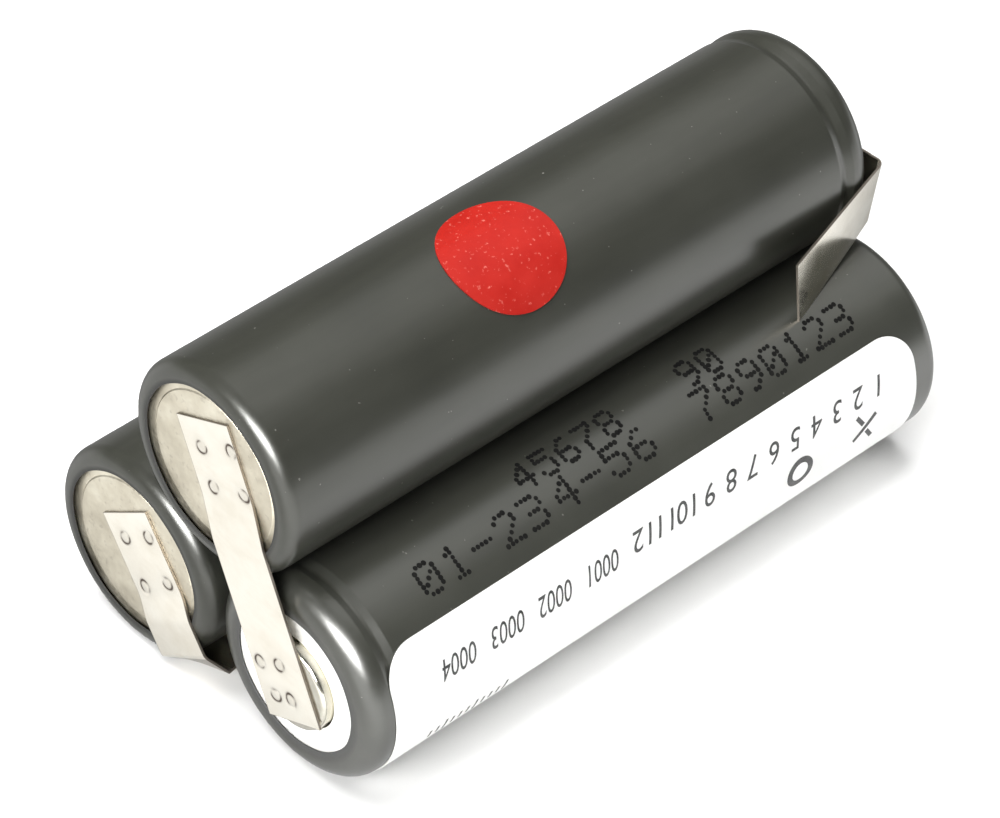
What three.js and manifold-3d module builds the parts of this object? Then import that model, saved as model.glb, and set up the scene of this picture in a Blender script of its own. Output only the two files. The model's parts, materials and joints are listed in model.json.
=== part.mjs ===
// Battery pack of three AA nickel-metal hydride cells, laid in a triangle and welded in series.
// Millimetres, +Z up. The cells lie along X: the near end is -X and the far end is +X.
// The top cell sits in the valley between the front cell (-Y) and the rear cell (+Y).
import * as THREE from 'three';
import { mergeVertices } from 'three/addons/utils/BufferGeometryUtils.js';
import Module from 'manifold-3d';

const wasm = await Module();
wasm.setup();

// Driving dimensions: the cell's envelope.
const cellRadius = 7.15;
const cellLength = 49.05;
const sleeveWall = 0.12;
const shoulderRadius = 1.0;
const negativeLipWidth = 1.38;
const positiveLipWidth = 2.15;
const cellGap = 0.02;
const frontCellShift = 0.55;

// The can.
const skinClearance = 0.03;
const canWall = 0.3;
const bottomRecess = 0.3;
const panelInset = 1.8;
const panelRise = 0.1;
const grooveFromEnd = 2.3;
const grooveWidth = 1.2;
const canGrooveDepth = 0.75;
const sleeveGrooveDepth = 0.22;
const crimpWidth = 1.6;

// The positive end.
const washerThickness = 0.2;
const buttonRadius = 3.35;
const buttonTopRadius = 3.0;
const buttonRise = 0.55;
const capWall = 0.25;
const capVentRadius = 0.25;
const capVentCount = 3;
const lidThickness = 0.3;
const lidVentRadius = 0.6;
const gasketWall = 0.65;
const gasketLedge = 0.3;
const valveRadius = 2.0;
const valveTravel = 0.25;
const fitGap = 0.03;
const runningGap = 0.05;

// The rolled electrodes and their insulators.
const mandrelRadius = 1.1;
const positiveSheet = 0.7;
const separatorSheet = 0.16;
const negativeSheet = 0.42;
const sheetGap = 0.05;
const rollHeadspace = 3.9;
const rollTurns = 2.85;
const rollSideGap = 0.2;
const insulatorThickness = 0.2;
const insulatorHole = 1.6;
const collectorWidth = 3.0;
const collectorThickness = 0.15;
const collectorMouthGap = 1.2;
const collectorSlotGap = 0.25;

// The nickel strips.
const stripWidth = 5.0;
const stripThickness = 0.15;
const weldGap = 0.02;
const foldGap = 0.1;
const nearBridgeSkew = 3.8;
const nearBridgeStart = 3.53;
const nearBridgeOverhang = 2.58;
const nearBridgeOffset = -0.71;
const farBridgeOverhang = 3.6;
const lipRamp = 0.9;
const negativeTabAngle = 233.1;
const negativeTabOffset = -0.94;
const negativeTabStart = 2.85;
const negativeFoldInset = 0.15;
const negativeLeafStandOff = 0.15;
const negativeLeafRamp = 1.1;
const negativeLeafLength = 8.6;
const positiveTabSlope = 10;
const positiveTabStart = 2.4;
const positiveTabLowerEdge = 3.65;
const positiveFoldInset = 0.55;
const positiveFoldRise = 0.68;
const positiveFoldAngle = 74.5;
const positiveLeafLength = 10.2;
const positiveLeafTwist = 19;

// Stickers and adhesive.
const stickerThickness = 0.08;
const stickerGap = 0.02;
const dotRadius = 4.1;
const dotAngle = 108.5;
const dotFromMiddle = -3.5;
const labelEndMargin = 2.025;
const labelFromAngle = 137;
const labelToAngle = 249;
const labelCornerRadius = 2.5;
const labelFromMiddle = 0.25;
const adhesiveLength = 30;
const adhesiveCuspTrim = 9;

// Facets round a full circle.
const outerSides = 32;
const innerSides = 16;
const rollSides = 14;

// Sizes that follow from the ones above.
const negativeLipRadius = cellRadius - negativeLipWidth;
const positiveLipRadius = cellRadius - positiveLipWidth;
const canRadius = cellRadius - sleeveWall - skinClearance;
const panelRadius = canRadius - panelInset;
const crimpOpening = canRadius - crimpWidth;
const collectorReach = crimpOpening - collectorMouthGap;
const canInnerRadius = canRadius - canWall;
const washerTop = cellLength - sleeveWall - fitGap;
const crimpTop = washerTop - washerThickness - fitGap;
const crimpUnderside = crimpTop - canWall;
const grooveCentre = cellLength - grooveFromEnd;
const gasketTop = crimpUnderside - fitGap;
const gasketRadius = canInnerRadius - fitGap;
const capTop = cellLength + buttonRise;
const capFlangeRadius = gasketRadius - gasketWall - fitGap;
const capFlangeTop = gasketTop - gasketLedge - fitGap;
const capFlangeBottom = capFlangeTop - capWall;
const lidTop = capFlangeBottom - fitGap;
const lidBottom = lidTop - lidThickness;
const gasketBottom = lidBottom - fitGap - gasketLedge;
const canFloor = bottomRecess + panelRise + canWall;
const lowerInsulatorBottom = canFloor + runningGap;
const rollBottom = lowerInsulatorBottom + insulatorThickness + runningGap;
const rollTop = gasketBottom - rollHeadspace;
const upperInsulatorBottom = rollTop + collectorThickness + 2 * runningGap;
const cellDistance = 2 * cellRadius + cellGap;
const topCellHeight = cellRadius + cellDistance * Math.cos(Math.PI / 6);

const rad = THREE.MathUtils.degToRad;

function material(color, roughness, metalness) {
  return new THREE.MeshStandardMaterial({ color, roughness, metalness });
}

const sleeveGrey = material('#4b4a48', 0.42, 0.2);
const canNickel = material('#bdb4a3', 0.38, 1);
const washerWhite = material('#e9e6df', 0.7, 0);
const capNickel = material('#cfcabf', 0.2, 1);
const lidSteel = material('#a9a6a0', 0.35, 1);
const valveRubber = material('#1f1f20', 0.85, 0);
const gasketNylon = material('#d9d3bf', 0.5, 0);
const insulatorCard = material('#d8cfae', 0.9, 0);
const collectorNickel = material('#c9c5bb', 0.3, 1);
const positiveFoam = material('#2f3330', 0.9, 0.1);
const separatorFelt = material('#f1efe8', 0.95, 0);
const negativeAlloy = material('#55514c', 0.8, 0.4);
const stripNickel = material('#e6ddc6', 0.22, 1);
const dotRed = material('#df352a', 0.5, 0);
const labelPaper = material('#f3f1ec', 0.6, 0);
const adhesiveClear = material('#d9d4c4', 0.4, 0);

// ---- Geometry helpers ----

function lathe(profile, sides = outerSides) {
  const points = profile.map(([radius, height]) => new THREE.Vector2(radius, height));
  return new THREE.LatheGeometry(points, sides);
}

function extrude(outline, depth) {
  const shape = new THREE.Shape(outline.map(([x, y]) => new THREE.Vector2(x, y)));
  return new THREE.ExtrudeGeometry(shape, { depth, bevelEnabled: false });
}

// Quarter-round profile points about (radius, height), from one angle to another in degrees.
function arc(radius, height, size, fromDegrees, toDegrees, steps = 2) {
  return Array.from({ length: steps + 1 }, (_, step) => {
    const angle = rad(fromDegrees + (toDegrees - fromDegrees) * step / steps);
    return [radius + size * Math.cos(angle), height + size * Math.sin(angle)];
  });
}

function toSolid(geometry) {
  const bare = geometry.clone();
  bare.deleteAttribute('normal');
  bare.deleteAttribute('uv');
  const merged = mergeVertices(bare, 1e-5);
  return new wasm.Manifold(new wasm.Mesh({
    numProp: 3,
    vertProperties: new Float32Array(merged.attributes.position.array),
    triVerts: new Uint32Array(merged.index.array),
  }));
}

function toGeometry(solid) {
  const mesh = solid.getMesh();
  const geometry = new THREE.BufferGeometry();
  geometry.setAttribute('position', new THREE.BufferAttribute(mesh.vertProperties, 3));
  geometry.setIndex(new THREE.BufferAttribute(mesh.triVerts, 1));
  geometry.computeVertexNormals();
  return geometry;
}

function cut(body, ...tools) {
  return toGeometry(tools.reduce((solid, tool) => solid.subtract(toSolid(tool)), toSolid(body)));
}

// ---- Pieces of one cell: the axis is local +Y, with the negative end at y = 0 ----

function sleeveGeometry() {
  const flat = cellRadius - shoulderRadius;
  const inner = shoulderRadius - sleeveWall;
  const halfGroove = grooveWidth / 2;
  return lathe([
    [negativeLipRadius, 0],
    ...arc(flat, shoulderRadius, shoulderRadius, -90, 0, 3),
    [cellRadius, grooveCentre - halfGroove],
    [cellRadius - sleeveGrooveDepth, grooveCentre],
    [cellRadius, grooveCentre + halfGroove],
    ...arc(flat, cellLength - shoulderRadius, shoulderRadius, 0, 90, 3),
    [positiveLipRadius, cellLength],
    [positiveLipRadius, cellLength - sleeveWall],
    ...arc(flat, cellLength - shoulderRadius, inner, 90, 0),
    [cellRadius - sleeveWall, grooveCentre + halfGroove],
    [cellRadius - sleeveWall - sleeveGrooveDepth, grooveCentre],
    [cellRadius - sleeveWall, grooveCentre - halfGroove],
    ...arc(flat, shoulderRadius, inner, 0, -90),
    [negativeLipRadius, sleeveWall],
    [negativeLipRadius, 0],
  ]);
}

function canGeometry() {
  const corner = shoulderRadius;
  const halfGroove = grooveWidth / 2;
  const crimpCorner = 0.6;
  return lathe([
    [0, bottomRecess],
    [panelRadius, bottomRecess],
    [panelRadius + panelRise, bottomRecess + panelRise],
    ...arc(canRadius - corner, bottomRecess + panelRise + corner, corner, -90, 0),
    [canRadius, grooveCentre - halfGroove],
    [canRadius - canGrooveDepth, grooveCentre],
    [canRadius, grooveCentre + halfGroove],
    ...arc(canRadius - crimpCorner, crimpTop - crimpCorner, crimpCorner, 0, 90),
    [crimpOpening, crimpTop],
    [crimpOpening, crimpUnderside],
    [canInnerRadius, crimpUnderside],
    [canInnerRadius, grooveCentre + halfGroove],
    [canInnerRadius - canGrooveDepth, grooveCentre],
    [canInnerRadius, grooveCentre - halfGroove],
    ...arc(canRadius - corner, canFloor + corner - canWall, corner - canWall, 0, -90),
    [0, canFloor],
  ]);
}

function washerGeometry() {
  const outer = cellRadius - shoulderRadius;
  const inner = buttonRadius + fitGap;
  return lathe([
    [inner, washerTop - washerThickness],
    [outer, washerTop - washerThickness],
    [outer, washerTop],
    [inner, washerTop],
    [inner, washerTop - washerThickness],
  ]);
}

function capGeometry() {
  const edge = buttonRadius - buttonTopRadius;
  const hat = lathe([
    [0, capTop - capWall],
    [buttonTopRadius - edge / 2, capTop - capWall],
    [buttonRadius - capWall, capTop - capWall - edge],
    [buttonRadius - capWall, capFlangeBottom],
    [capFlangeRadius, capFlangeBottom],
    [capFlangeRadius, capFlangeTop],
    [buttonRadius, capFlangeTop],
    [buttonRadius, capTop - edge],
    [buttonTopRadius, capTop],
    [0, capTop],
  ], innerSides);
  const ventHeight = (capFlangeTop + washerTop - washerThickness) / 2;
  const vents = Array.from({ length: capVentCount }, (_, index) => {
    const vent = new THREE.CylinderGeometry(capVentRadius, capVentRadius, 2 * capWall, 8);
    vent.rotateZ(Math.PI / 2);
    vent.translate(buttonRadius - capWall / 2, ventHeight, 0);
    vent.rotateY(index * 2 * Math.PI / capVentCount);
    return vent;
  });
  return cut(hat, ...vents);
}

function lidGeometry() {
  return lathe([
    [lidVentRadius, lidBottom],
    [capFlangeRadius, lidBottom],
    [capFlangeRadius, lidTop],
    [lidVentRadius, lidTop],
    [lidVentRadius, lidBottom],
  ], innerSides);
}

function valveGeometry() {
  const top = capTop - capWall - valveTravel - runningGap;
  const chamfer = 0.25;
  return lathe([
    [0, lidTop + weldGap],
    [valveRadius, lidTop + weldGap],
    [valveRadius, top - chamfer],
    [valveRadius - chamfer, top],
    [0, top],
  ], innerSides);
}

function gasketGeometry() {
  const innerWall = gasketRadius - gasketWall;
  const mouth = crimpOpening;
  const grooveSlope = canGrooveDepth / (grooveWidth / 2);
  const chamferTop = grooveCentre + grooveWidth / 2 + fitGap;
  const chamferRadius = gasketRadius - (chamferTop - gasketBottom) * grooveSlope;
  return lathe([
    [mouth, gasketBottom],
    [Math.max(chamferRadius, mouth + fitGap), gasketBottom],
    [gasketRadius, chamferTop],
    [gasketRadius, gasketTop],
    [mouth, gasketTop],
    [mouth, gasketTop - gasketLedge],
    [innerWall, gasketTop - gasketLedge],
    [innerWall, gasketBottom + gasketLedge],
    [mouth, gasketBottom + gasketLedge],
    [mouth, gasketBottom],
  ], innerSides);
}

function insulatorRadius() {
  return canInnerRadius - 2 * sheetGap;
}

function lowerInsulatorGeometry() {
  const radius = Math.min(insulatorRadius(), canRadius - shoulderRadius);
  return lathe([
    [0, lowerInsulatorBottom],
    [radius, lowerInsulatorBottom],
    [radius, lowerInsulatorBottom + insulatorThickness],
    [0, lowerInsulatorBottom + insulatorThickness],
  ], innerSides);
}

// The slot that the collector tab rises through.
function upperInsulatorGeometry() {
  const disc = lathe([
    [insulatorHole, upperInsulatorBottom],
    [insulatorRadius(), upperInsulatorBottom],
    [insulatorRadius(), upperInsulatorBottom + insulatorThickness],
    [insulatorHole, upperInsulatorBottom + insulatorThickness],
    [insulatorHole, upperInsulatorBottom],
  ], innerSides);
  const slot = new THREE.BoxGeometry(
    collectorThickness + 2 * collectorSlotGap,
    3 * insulatorThickness,
    collectorWidth + 2 * collectorSlotGap,
  );
  slot.translate(collectorReach, upperInsulatorBottom + insulatorThickness / 2, 0);
  return cut(disc, slot);
}

// A foot on the roll's top edge, a riser through the slot, and a head welded under the lid.
function collectorGeometry() {
  const foot = rollTop + runningGap;
  const head = lidBottom - weldGap;
  const outer = collectorReach + collectorThickness / 2;
  const inner = collectorReach - collectorThickness / 2;
  const geometry = extrude([
    [-collectorReach / 2, foot],
    [outer, foot],
    [outer, head],
    [lidVentRadius + runningGap, head],
    [lidVentRadius + runningGap, head - collectorThickness],
    [inner, head - collectorThickness],
    [inner, foot + collectorThickness],
    [-collectorReach / 2, foot + collectorThickness],
  ], collectorWidth);
  geometry.translate(0, 0, -collectorWidth / 2);
  return geometry;
}

// One turn of the roll holds positive, separator, negative and separator.
const rollPitch = positiveSheet + negativeSheet + 2 * separatorSheet + 4 * sheetGap;

// Outline of one rolled sheet, whose inner face starts at startRadius.
function spiralOutline(startRadius, thickness, turns) {
  const steps = Math.round(turns * rollSides);
  const face = Array.from({ length: steps + 1 }, (_, step) => {
    const angle = 2 * Math.PI * step / rollSides;
    return { angle, radius: startRadius + rollPitch * step / rollSides };
  });
  const point = ({ angle, radius }, offset) => {
    return [(radius + offset) * Math.cos(angle), (radius + offset) * Math.sin(angle)];
  };
  const inside = face.map((place) => point(place, 0));
  const outside = face.map((place) => point(place, thickness));
  return [...outside, ...inside.reverse()];
}

function rolledSheetGeometry(startRadius, thickness) {
  const available = (canInnerRadius - rollSideGap - thickness - startRadius) / rollPitch;
  const outline = spiralOutline(startRadius, thickness, Math.min(rollTurns, available));
  const geometry = extrude(outline, rollTop - rollBottom);
  geometry.rotateX(-Math.PI / 2);
  geometry.translate(0, rollBottom, 0);
  return geometry;
}

const innerSeparatorRadius = mandrelRadius;
const positiveSheetRadius = innerSeparatorRadius + separatorSheet + sheetGap;
const outerSeparatorRadius = positiveSheetRadius + positiveSheet + sheetGap;
const negativeSheetRadius = outerSeparatorRadius + separatorSheet + sheetGap;

const cellPieces = [
  ['sleeve', sleeveGeometry(), sleeveGrey],
  ['can', canGeometry(), canNickel],
  ['insulating_washer', washerGeometry(), washerWhite],
  ['positive_cap', capGeometry(), capNickel],
  ['sealing_lid', lidGeometry(), lidSteel],
  ['vent_valve', valveGeometry(), valveRubber],
  ['sealing_gasket', gasketGeometry(), gasketNylon],
  ['upper_insulator', upperInsulatorGeometry(), insulatorCard],
  ['lower_insulator', lowerInsulatorGeometry(), insulatorCard],
  ['collector_tab', collectorGeometry(), collectorNickel],
  ['inner_separator', rolledSheetGeometry(innerSeparatorRadius, separatorSheet), separatorFelt],
  ['positive_electrode', rolledSheetGeometry(positiveSheetRadius, positiveSheet), positiveFoam],
  ['outer_separator', rolledSheetGeometry(outerSeparatorRadius, separatorSheet), separatorFelt],
  ['negative_electrode', rolledSheetGeometry(negativeSheetRadius, negativeSheet), negativeAlloy],
];

// Where each cell's axis lies, which way its positive end points, and where its middle is.
const cells = {
  top: { y: 0, z: topCellHeight, positive: 1, middle: 0 },
  front: { y: -cellDistance / 2, z: cellRadius, positive: -1, middle: frontCellShift },
  rear: { y: cellDistance / 2, z: cellRadius, positive: 1, middle: 0 },
};

const pack = new THREE.Group();

function addMesh(parent, name, geometry, surface) {
  const mesh = new THREE.Mesh(geometry, surface);
  mesh.name = name;
  parent.add(mesh);
  return mesh;
}

for (const [cellName, cell] of Object.entries(cells)) {
  const group = new THREE.Group();
  group.position.set(cell.middle - cell.positive * cellLength / 2, cell.y, cell.z);
  group.rotation.z = -cell.positive * Math.PI / 2;
  for (const [pieceName, geometry, surface] of cellPieces) {
    addMesh(group, `${cellName}_${pieceName}`, geometry, surface);
  }
  pack.add(group);
}

// ---- Nickel strips ----
// A strip's side view is drawn as [distance along, height off the cells] and given its width.

function stripGeometry(sideView, width = stripWidth) {
  const outside = sideView.map(([along, height]) => [along, height + stripThickness]);
  const geometry = extrude([...sideView, ...outside.reverse()], width);
  geometry.translate(0, 0, -width / 2);
  return geometry;
}

// Places a strip: along, off the cells, and across become three perpendicular directions.
function placeStrip(name, geometry, origin, along, off) {
  const across = new THREE.Vector3().crossVectors(along, off);
  const basis = new THREE.Matrix4().makeBasis(along, off, across);
  const group = new THREE.Group();
  group.position.copy(origin);
  group.setRotationFromMatrix(basis);
  addMesh(group, name, geometry, stripNickel);
  pack.add(group);
  return { group, across };
}

function directionInYZ(degrees) {
  return new THREE.Vector3(0, Math.cos(rad(degrees)), Math.sin(rad(degrees)));
}

const nearward = new THREE.Vector3(-1, 0, 0);
const farward = new THREE.Vector3(1, 0, 0);
const rimHeight = weldGap;

// Side view of a strip that leaves a can's recessed bottom and climbs over the sleeve's lip.
// sideOffset is how far the strip's centreline passes from the cell's axis.
function climbFromCan(start, sideOffset) {
  const farEdge = stripWidth / 2 + Math.abs(sideOffset);
  const lipAlong = Math.sqrt(negativeLipRadius ** 2 - farEdge ** 2) - fitGap;
  return [
    [-start, -bottomRecess + weldGap],
    [lipAlong - lipRamp, -bottomRecess + weldGap],
    [lipAlong, rimHeight],
  ];
}

// Near bridge: the top cell's can to the front cell's button.
const topNearFace = -cellLength / 2;
const frontNearFace = frontCellShift - cellLength / 2;
const frontButtonHeight = buttonRise - (frontNearFace - topNearFace);
const nearAlong = directionInYZ(240 + nearBridgeSkew);
const frontAlong = cellDistance * Math.cos(rad(nearBridgeSkew));
const nearAcross = new THREE.Vector3().crossVectors(nearAlong, nearward);
const nearOrigin = new THREE.Vector3(topNearFace, cells.top.y, cells.top.z);
nearOrigin.addScaledVector(nearAcross, nearBridgeOffset);
placeStrip(
  'near_bridge_strip',
  stripGeometry([
    ...climbFromCan(nearBridgeStart, nearBridgeOffset),
    [frontAlong + nearBridgeOverhang, Math.max(rimHeight, frontButtonHeight + weldGap)],
  ]),
  nearOrigin,
  nearAlong,
  nearward,
);

// Far bridge: the rear cell's button to the front cell's can.
const rearFarFace = cellLength / 2;
const frontFarFace = frontCellShift + cellLength / 2;
const farStep = frontFarFace - rearFarFace;
placeStrip(
  'far_bridge_strip',
  stripGeometry([
    ...climbFromCan(farBridgeOverhang, 0),
    [cellDistance - cellRadius, rimHeight],
    [cellDistance - buttonRadius, buttonRise - farStep + weldGap],
    [cellDistance + farBridgeOverhang, buttonRise - farStep + weldGap],
  ]),
  new THREE.Vector3(frontFarFace, cells.front.y, cells.front.z),
  new THREE.Vector3(0, 1, 0),
  farward,
);

// Negative tab: a pad on the rear cell's can, then a leaf folded back along the cell.
const negativeAlong = directionInYZ(negativeTabAngle);
const negativeAcross = new THREE.Vector3().crossVectors(negativeAlong, nearward);
const negativeFoldReach = cellRadius - negativeFoldInset;
const negativeFoldHeight = rimHeight + stripThickness / 2;
const negativeOrigin = new THREE.Vector3(-cellLength / 2, cells.rear.y, cells.rear.z);
negativeOrigin.addScaledVector(negativeAcross, negativeTabOffset);
placeStrip(
  'negative_tab_pad',
  stripGeometry([
    ...climbFromCan(negativeTabStart, negativeTabOffset),
    [negativeFoldReach - foldGap, rimHeight],
  ]),
  negativeOrigin,
  negativeAlong,
  nearward,
);

const negativeFold = negativeOrigin.clone();
negativeFold.addScaledVector(negativeAlong, negativeFoldReach);
negativeFold.addScaledVector(nearward, negativeFoldHeight);
const negativeLeafHeight = negativeFoldInset + negativeLeafStandOff;
const negativeLeaf = stripGeometry([
  [foldGap, -stripThickness / 2],
  [Math.max(negativeLeafRamp, shoulderRadius), negativeLeafHeight],
  [negativeLeafLength, negativeLeafHeight],
]);
placeStrip('negative_tab_leaf', negativeLeaf, negativeFold, farward, negativeAlong);

// Positive tab: a pad on the top cell's button, then an upright leaf that stands off the cells.
const positiveAlong = directionInYZ(180 + positiveTabSlope);
const positiveTabDrop = positiveTabLowerEdge - stripWidth / 2;
const positiveFoldReach = cellRadius - positiveFoldInset;
const positiveOrigin = new THREE.Vector3(
  cellLength / 2 + buttonRise + weldGap,
  cells.top.y,
  cells.top.z - positiveTabDrop,
);
const padLiftStart = buttonTopRadius;
placeStrip(
  'positive_tab_pad',
  stripGeometry([
    [-positiveTabStart, 0],
    [padLiftStart, 0],
    [positiveFoldReach - foldGap, positiveFoldRise - stripThickness / 2],
  ]),
  positiveOrigin,
  positiveAlong,
  farward,
);

function twistedLeafGeometry(length, width, thickness, twistDegrees, steps = 6) {
  const geometry = new THREE.BoxGeometry(length, thickness, width, steps, 1, 1);
  geometry.translate(length / 2, 0, 0);
  const position = geometry.attributes.position;
  const place = new THREE.Vector3();
  for (let index = 0; index < position.count; index += 1) {
    place.fromBufferAttribute(position, index);
    place.applyAxisAngle(farward, rad(twistDegrees) * place.x / length);
    position.setXYZ(index, place.x, place.y, place.z);
  }
  geometry.translate(foldGap, 0, 0);
  return geometry;
}

const positiveFold = positiveOrigin.clone();
positiveFold.addScaledVector(positiveAlong, positiveFoldReach);
positiveFold.addScaledVector(farward, positiveFoldRise);
const foldAxis = new THREE.Vector3().crossVectors(farward, positiveAlong);
const leafAlong = positiveAlong.clone().applyAxisAngle(foldAxis, rad(positiveFoldAngle));
const leafOff = farward.clone().applyAxisAngle(foldAxis, rad(positiveFoldAngle));
const positiveLeaf = twistedLeafGeometry(
  positiveLeafLength - foldGap, stripWidth, stripThickness, positiveLeafTwist,
);
placeStrip('positive_tab_leaf', positiveLeaf, positiveFold, leafAlong, leafOff);

// ---- Stickers: a thin shell round a cell, kept where an outline is pressed on to it ----

// Outline points are [along the cell, degrees round from the sticker's middle]. The shell's facets
// line up with the sleeve's, so only the stamp turns to the sticker's own angle.
function wrappedSticker(outline, middleDegrees) {
  const inner = cellRadius + stickerGap;
  const outer = inner + stickerThickness;
  const half = 1.05 * Math.max(...outline.map(([along]) => Math.abs(along)));
  const shell = lathe([[inner, -half], [outer, -half], [outer, half], [inner, half], [inner, -half]]);
  const flat = outline.map(([along, degrees]) => [outer * Math.sin(rad(degrees)), along]);
  const stamp = extrude(flat, 2 * outer);
  stamp.rotateY(rad(middleDegrees - 90));
  return toGeometry(toSolid(shell).intersect(toSolid(stamp)));
}

function placeSticker(name, geometry, cell, along, surface) {
  const group = new THREE.Group();
  group.position.set(along, cell.y, cell.z);
  group.rotation.z = -Math.PI / 2;
  addMesh(group, name, geometry, surface);
  pack.add(group);
}

const dotOutline = Array.from({ length: innerSides }, (_, index) => {
  const angle = 2 * Math.PI * index / innerSides;
  const round = dotRadius / (cellRadius + stickerGap);
  return [dotRadius * Math.sin(angle), THREE.MathUtils.radToDeg(round * Math.cos(angle))];
});
placeSticker('red_dot_sticker', wrappedSticker(dotOutline, dotAngle), cells.top, dotFromMiddle, dotRed);

const labelLength = cellLength - 2 * labelEndMargin;
const labelHalfAngle = (labelToAngle - labelFromAngle) / 2;
const cornerAngle = THREE.MathUtils.radToDeg(labelCornerRadius / cellRadius);
const labelOutline = [[1, 1], [-1, 1], [-1, -1], [1, -1]].flatMap(([side, upper], corner) => {
  return Array.from({ length: 5 }, (_, step) => {
    const angle = rad(90 * corner + 22.5 * step);
    const along = side * (labelLength / 2 - labelCornerRadius) + labelCornerRadius * Math.cos(angle);
    const round = upper * (labelHalfAngle - cornerAngle) + cornerAngle * Math.sin(angle);
    return [along, round];
  });
});
placeSticker(
  'date_label',
  wrappedSticker(labelOutline, (labelFromAngle + labelToAngle) / 2),
  cells.front,
  labelFromMiddle,
  labelPaper,
);

// ---- Adhesive core in the channel between the cells ----

const channelMiddle = new THREE.Vector2(0, (cells.top.z + 2 * cellRadius) / 3);
const adhesiveOutline = Object.values(cells).flatMap((cell) => {
  const centre = new THREE.Vector2(cell.y, cell.z);
  const towards = channelMiddle.clone().sub(centre).angle();
  const halfSpan = rad(30 - adhesiveCuspTrim);
  const radius = (cellRadius + fitGap) / Math.cos(halfSpan / 6);
  return Array.from({ length: 7 }, (_, step) => {
    const angle = towards + halfSpan * (1 - step / 3);
    return [centre.x + radius * Math.cos(angle), centre.y + radius * Math.sin(angle)];
  });
});
const adhesive = extrude(adhesiveOutline, adhesiveLength);
adhesive.rotateX(Math.PI / 2);
adhesive.rotateZ(Math.PI / 2);
adhesive.translate(-adhesiveLength / 2, 0, 0);
addMesh(pack, 'adhesive_core', adhesive, adhesiveClear);

// The origin is the middle of the footprint: pack box centre in X and Y, its lowest point in Z.
const assembly = new THREE.Group();
assembly.add(pack);
assembly.updateMatrixWorld(true);
const box = new THREE.Box3().setFromObject(pack, true);
const middle = box.getCenter(new THREE.Vector3());
pack.position.set(-middle.x, -middle.y, -box.min.z);

export default assembly;
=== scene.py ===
import json
import math
import random

import bmesh
import bpy
from mathutils import Matrix, Vector


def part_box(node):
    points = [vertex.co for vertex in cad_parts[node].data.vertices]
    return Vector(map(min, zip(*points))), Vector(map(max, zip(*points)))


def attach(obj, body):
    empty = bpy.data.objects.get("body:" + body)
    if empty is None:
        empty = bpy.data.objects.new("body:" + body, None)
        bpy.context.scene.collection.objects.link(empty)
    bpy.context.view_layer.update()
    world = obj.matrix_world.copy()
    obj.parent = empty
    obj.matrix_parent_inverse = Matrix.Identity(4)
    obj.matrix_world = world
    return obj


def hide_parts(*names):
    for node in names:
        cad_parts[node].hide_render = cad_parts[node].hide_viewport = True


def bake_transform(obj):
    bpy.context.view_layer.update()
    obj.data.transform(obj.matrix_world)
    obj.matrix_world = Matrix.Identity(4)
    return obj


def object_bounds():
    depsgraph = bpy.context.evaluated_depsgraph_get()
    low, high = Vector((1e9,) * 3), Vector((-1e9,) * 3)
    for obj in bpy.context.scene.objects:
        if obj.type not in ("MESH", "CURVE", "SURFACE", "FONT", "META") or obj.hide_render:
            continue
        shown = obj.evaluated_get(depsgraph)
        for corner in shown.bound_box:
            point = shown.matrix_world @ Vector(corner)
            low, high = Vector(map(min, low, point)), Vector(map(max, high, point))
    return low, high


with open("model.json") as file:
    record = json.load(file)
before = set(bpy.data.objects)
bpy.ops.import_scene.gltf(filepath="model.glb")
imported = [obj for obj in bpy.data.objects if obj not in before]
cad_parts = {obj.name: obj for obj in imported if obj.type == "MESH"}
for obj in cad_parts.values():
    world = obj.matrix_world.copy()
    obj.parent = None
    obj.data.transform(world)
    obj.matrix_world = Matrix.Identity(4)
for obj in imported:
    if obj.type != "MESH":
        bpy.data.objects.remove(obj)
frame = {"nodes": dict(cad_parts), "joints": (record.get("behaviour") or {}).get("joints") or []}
cad_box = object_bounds()
mm = 0.001

# ---------------------------------------------------------------------------------------------
# The three cells. Each is an AA can in a shrunk sleeve. Their axes lie along X, and where they
# are and which way their positive ends point is read from the sleeves and caps of the frame.
# ---------------------------------------------------------------------------------------------
cells = {}
for cell_name in ("top", "front", "rear"):
    low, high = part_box(cell_name + "_sleeve")
    cap_low, cap_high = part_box(cell_name + "_positive_cap")
    middle = (Vector(low) + Vector(high)) / 2
    facing = 1 if (cap_low[0] + cap_high[0]) / 2 > middle.x else -1
    cells[cell_name] = {
        "axis_y": middle.y,
        "axis_z": middle.z,
        "radius": (high[2] - low[2]) / 2,
        "length": high[0] - low[0],
        "facing": facing,
        "negative_x": middle.x - facing * (high[0] - low[0]) / 2,
    }


def depth_in_cell(cell, node):
    """A node's lowest and highest place along its cell, from the negative end."""
    node_low, node_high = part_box(node)
    depths = [cell["facing"] * (x - cell["negative_x"]) for x in (node_low[0], node_high[0])]
    return min(depths), max(depths)


def select_only(piece):
    bpy.ops.object.select_all(action="DESELECT")
    piece.select_set(True)
    bpy.context.view_layer.objects.active = piece


def apply_modifier(piece, kind, **settings):
    select_only(piece)
    modifier = piece.modifiers.new(kind.title(), kind)
    for setting, value in settings.items():
        setattr(modifier, setting, value)
    bpy.ops.object.modifier_apply(modifier=modifier.name)


def new_piece(name, vertices, edges=(), faces=()):
    mesh = bpy.data.meshes.new(name)
    mesh.from_pydata([tuple(v) for v in vertices], list(edges), list(faces))
    piece = bpy.data.objects.new(name, mesh)
    bpy.context.scene.collection.objects.link(piece)
    return piece


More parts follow.
